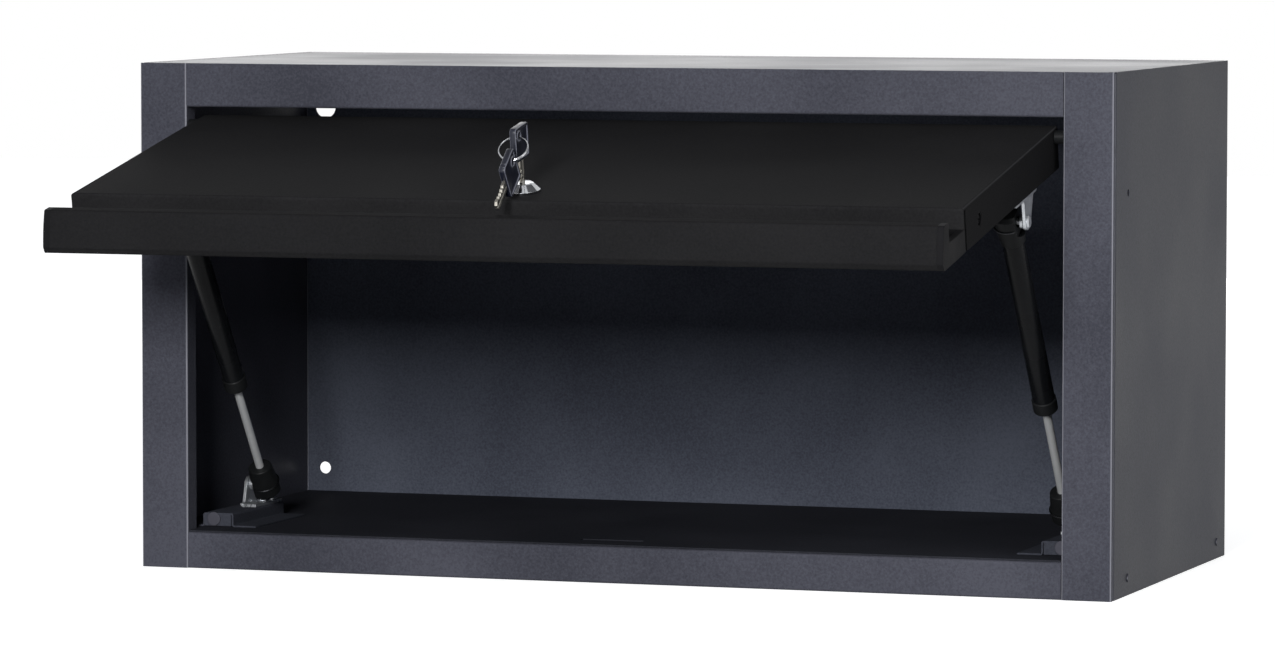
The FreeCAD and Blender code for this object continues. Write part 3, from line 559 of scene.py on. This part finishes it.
def makeScrewHead(name, spot, way):
    place = Matrix.Translation(spot) @ way.to_track_quat("Z", "X").to_matrix().to_4x4()
    radius, rim = screwHead["radius"], screwHead["rim"]
    arm, wide, deep = (screwHead[size] * radius for size in ("arm", "wide", "deep"))
    turns = roundTurns(screwHead["around"])
    rings = [[(radius * math.cos(turn), radius * math.sin(turn), -screwHead["skirt"]) for turn in turns]]
    for part in screwHead["rings"]:
        high = screwHead["dome"] * (rim + (1 - rim) * math.sqrt(1 - part * part))
        ring = []
        for turn in turns:
            x, y = part * radius * math.cos(turn), part * radius * math.sin(turn)
            near, far = sorted((abs(x), abs(y)))
            recess = (clamp((wide - near) / (wide * screwHead["wideFade"]))
                      * clamp((arm - far) / (arm * screwHead["armFade"])))
            ring.append((x, y, high - recess * deep))
        rings.append(ring)
    meshPiece(name, *skinRings(rings), place, "door", "cap_plastic", 50)


for side, hand in ((1, "right"), (-1, "left")):
    low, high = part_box(hand + "_screw_cup")
    middle = (Vector(low) + Vector(high)) / 2
    face = high[0] if side > 0 else low[0]
    makeScrewHead(hand + "_cup_screw",
                  Vector((face - side * screwHead["sunk"] * mm, middle.y, middle.z)), Vector((side, 0, 0)))
print("screws")


# Room: pale paper, three soft lamps, and two dark cards overhead that only reflections meet. The cards give
# the chrome its dark sides. Places and sizes are in metres, and power is in watts.

room = {"half": 6.0, "paper": "#d6d6d6", "rough": 0.9, "glow": (0.78, 1.0), "glowReach": (1.0, 9.0),
        "sky": 0.03, "skyColour": "#8fb2f0", "aim": (0, -0.2, 0.1),
        "front": {"place": (0.35, -3.4, 0.88), "size": 0.6, "power": 99},
        "right": {"place": (2.2, -2.0, 1.7), "size": 1.6, "power": 22},
        "back": {"place": (-1.1, 2.7, 0.95), "size": 2.4, "power": 23}}

cards = {"up": 2.2, "across": ((-1.1, -0.45), (0.7, 3.0)), "along": (-2.1, 0.9), "colour": "#141414",
         "sheen": "#6c6c6e"}


def seenRays(tree):  # 1 for rays that show a thing or its reflection, 0 for those that light others
    ray = addNode(tree, "LightPath")
    seen = ray.outputs["Is Camera Ray"]
    for kind in ("Is Glossy Ray", "Is Transmission Ray"):
        seen = addNode(tree, "Math", {"operation": "MAXIMUM"}, {0: seen, 1: ray.outputs[kind]}).outputs[0]
    return seen


def levelSheet(name, stock, colour, across, along, up):
    (left, right), (near, far) = across, along
    mesh = bpy.data.meshes.new(name)
    mesh.from_pydata([(left, near, up), (right, near, up), (right, far, up), (left, far, up)],
                     [], [(0, 1, 2, 3)])
    sheet = bpy.data.objects.new(name, mesh)
    bpy.context.scene.collection.objects.link(sheet)
    material, tree, shader, place = startMaterial(stock)
    shader.inputs["Base Color"].default_value = linear(colour)
    shader.inputs["Roughness"].default_value = room["rough"]
    mesh.materials.append(material)
    return sheet, tree, shader, place


def makeSky():
    world = bpy.data.worlds.new("studio")
    bpy.context.scene.world = world
    world.use_nodes = True
    tree = world.node_tree
    tree.nodes.clear()
    seen = seenRays(tree)
    strength = addNode(tree, "MapRange", {"To Min": room["sky"], "To Max": 1.0}, {"Value": seen})
    tint = addNode(tree, "Mix", {"data_type": "RGBA", 6: linear(room["skyColour"]), 7: (1, 1, 1, 1)},
                   {0: seen})
    light = addNode(tree, "Background", links={"Color": tint.outputs[2], "Strength": strength.outputs[0]})
    addNode(tree, "OutputWorld", links={"Surface": light.outputs[0]})


def makePaper():
    reach = (-room["half"], room["half"])
    foot = cadBounds[0][2]
    _, tree, shader, place = levelSheet("floor", "floor paper", room["paper"], reach, reach, foot)
    # the paper glows less near the cabinet, where the lamps light it, and not at all beneath it
    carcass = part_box("left_side_panel")[0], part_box("right_side_panel")[1]
    middle = [(low + high) / 2 for low, high in zip(*carcass)]
    half = [(high - low) / 2 for low, high in zip(*carcass)]
    away = addNode(tree, "VectorMath", {"operation": "SUBTRACT", 1: middle}, {0: place})
    away = addNode(tree, "VectorMath", {"operation": "DIVIDE", 1: half}, {0: away.outputs[0]})
    away = addNode(tree, "VectorMath", {"operation": "ABSOLUTE"}, {0: away.outputs[0]})
    ways = addNode(tree, "SeparateXYZ", links={0: away.outputs[0]})
    most = addNode(tree, "Math", {"operation": "MAXIMUM"}, {0: ways.outputs[0], 1: ways.outputs[1]})
    glow = addNode(tree, "MapRange", {"From Min": room["glowReach"][0], "From Max": room["glowReach"][1],
                                      "To Min": room["glow"][0], "To Max": room["glow"][1]},
                   {"Value": most.outputs[0]})
    outside = addNode(tree, "Math", {"operation": "GREATER_THAN", 1: 0.99}, {0: most.outputs[0]})
    glow = addNode(tree, "Math", {"operation": "MULTIPLY"}, {0: glow.outputs[0], 1: outside.outputs[0]})
    glow = addNode(tree, "Math", {"operation": "MULTIPLY"}, {0: glow.outputs[0], 1: seenRays(tree)})
    shader.inputs["Emission Color"].default_value = (1, 1, 1, 1)
    tree.links.new(glow.outputs[0], shader.inputs["Emission Strength"])


def makeCards():
    for index, across in enumerate(cards["across"]):
        card, _, shader, _ = levelSheet("card_%d" % index, "black card", cards["colour"], across,
                                        cards["along"], cards["up"])
        card.visible_camera = card.visible_diffuse = card.visible_shadow = False
        # the cards glow a dim grey, a painted reflection that only reflections see
        shader.inputs["Emission Color"].default_value = linear(cards["sheen"])
        shader.inputs["Emission Strength"].default_value = 1.0


def makeLamps():
    for name in ("front", "right", "back"):
        lamp = room[name]
        light = bpy.data.lights.new(name, "AREA")
        light.size = lamp["size"]
        light.energy = lamp["power"]
        holder = bpy.data.objects.new(name, light)
        holder.location = lamp["place"]
        holder.rotation_euler = (Vector(room["aim"]) - holder.location).to_track_quat("-Z", "Y").to_euler()
        bpy.context.scene.collection.objects.link(holder)


# Camera: a long lens from the right, a little above. Its place is in metres, its turns in degrees, and its
# lens and sensor in millimetres.

view = {"place": (1.43388, -4.50360, 0.43393), "yaw": 18.690, "pitch": 3.881, "roll": 0.042,
        "lens": 182.13, "sensor": 36}


def makeCamera():
    data = bpy.data.cameras.new("camera")
    data.lens = view["lens"]
    data.sensor_width = view["sensor"]
    data.sensor_fit = "HORIZONTAL"
    camera = bpy.data.objects.new("camera", data)
    turn = Euler((math.radians(90 - view["pitch"]), 0, math.radians(view["yaw"]))).to_matrix()
    turn = turn @ Matrix.Rotation(math.radians(view["roll"]), 3, "Z")
    camera.matrix_world = Matrix.Translation(view["place"]) @ turn.to_4x4()
    bpy.context.scene.collection.objects.link(camera)
    bpy.context.scene.camera = camera


bpy.context.scene.view_settings.view_transform = "Standard"
makeSky()
makePaper()
makeCards()
makeLamps()
makeCamera()
print("room and camera")
